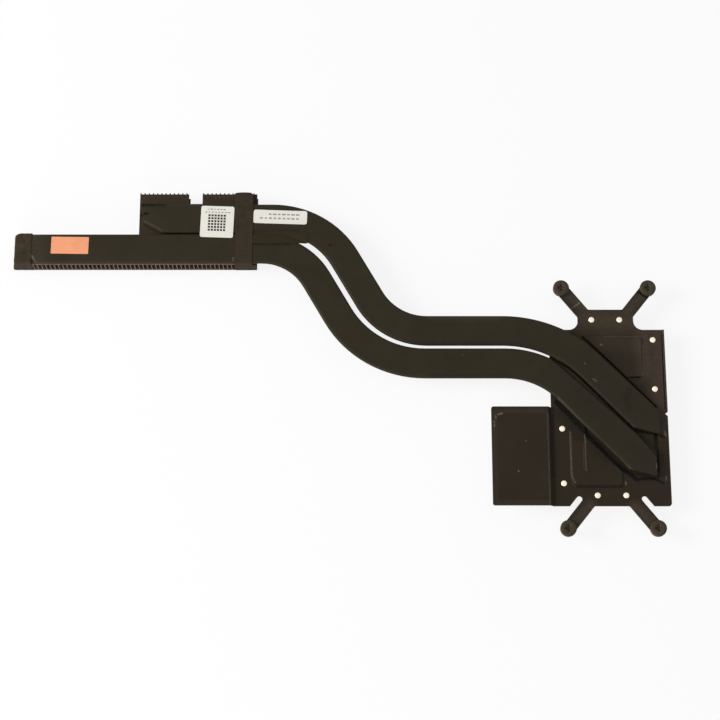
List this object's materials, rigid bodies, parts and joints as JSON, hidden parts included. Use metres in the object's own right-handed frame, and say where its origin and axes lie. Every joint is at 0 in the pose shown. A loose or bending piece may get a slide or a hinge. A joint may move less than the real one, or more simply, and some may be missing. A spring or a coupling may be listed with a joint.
{
  "type": "laptop heatsink",
  "caption": "Black laptop heatsink: flattened heat pipes run in an S bend from a riveted processor plate with spring arms to a stack of folded fins.",
  "frame": {"origin": "middle of the copper face that meets the processor, which is also the middle of the screw rectangle", "axes": "+X along the fins away from the fin end, +Y from the processor plate towards the air outlet, +Z away from the processor, out of the visible side"},
  "size_m": [0.2259, 0.1221, 0.0079],
  "materials": {
    "coated_sheet": "matte black coating, worn in places",
    "coated_pipe": "matte black coating",
    "coated_fin": "matte black coating",
    "bare_copper": "machined, bright",
    "rivet": "satin",
    "black_tape": "matte",
    "copper_foil": "satin",
    "white_label": "matte",
    "thermal_pad": "matte, soft",
    "screw": "black oxide",
    "retainer": "matte"
  },
  "bodies": {
    "heatsink": {"base_plate": "coated_sheet", "heat_pipe_upper": "coated_pipe", "heat_pipe_lower": "coated_pipe", "fin_pack_long": "coated_fin", "fin_pack_deep": "coated_fin", "cold_plate": "bare_copper", "base_rivets": "rivet", "end_cap_left": "black_tape", "end_band_right": "black_tape", "seam_tape": "black_tape", "copper_foil_pad": "copper_foil", "code_label": "white_label", "strip_label": "white_label", "wing_thermal_pad": "thermal_pad"},
    "screw_1": {"captive_screw_1": "screw", "screw_retainer_1": "retainer"},
    "screw_2": {"captive_screw_2": "screw", "screw_retainer_2": "retainer"},
    "screw_3": {"captive_screw_3": "screw", "screw_retainer_3": "retainer"},
    "screw_4": {"captive_screw_4": "screw", "screw_retainer_4": "retainer"}
  },
  "joints": [
    {"name": "screw_1_turn", "type": "hinge", "parent": "heatsink", "child": "screw_1", "pos_m": [-0.015, 0.0421, 0], "axis": [0, 0, 1], "continuous": true},
    {"name": "screw_2_turn", "type": "hinge", "parent": "heatsink", "child": "screw_2", "pos_m": [0.015, 0.0421, 0], "axis": [0, 0, 1], "continuous": true},
    {"name": "screw_3_turn", "type": "hinge", "parent": "heatsink", "child": "screw_3", "pos_m": [-0.015, -0.0421, 0], "axis": [0, 0, 1], "continuous": true},
    {"name": "screw_4_turn", "type": "hinge", "parent": "heatsink", "child": "screw_4", "pos_m": [0.015, -0.0421, 0], "axis": [0, 0, 1], "continuous": true}
  ]
}
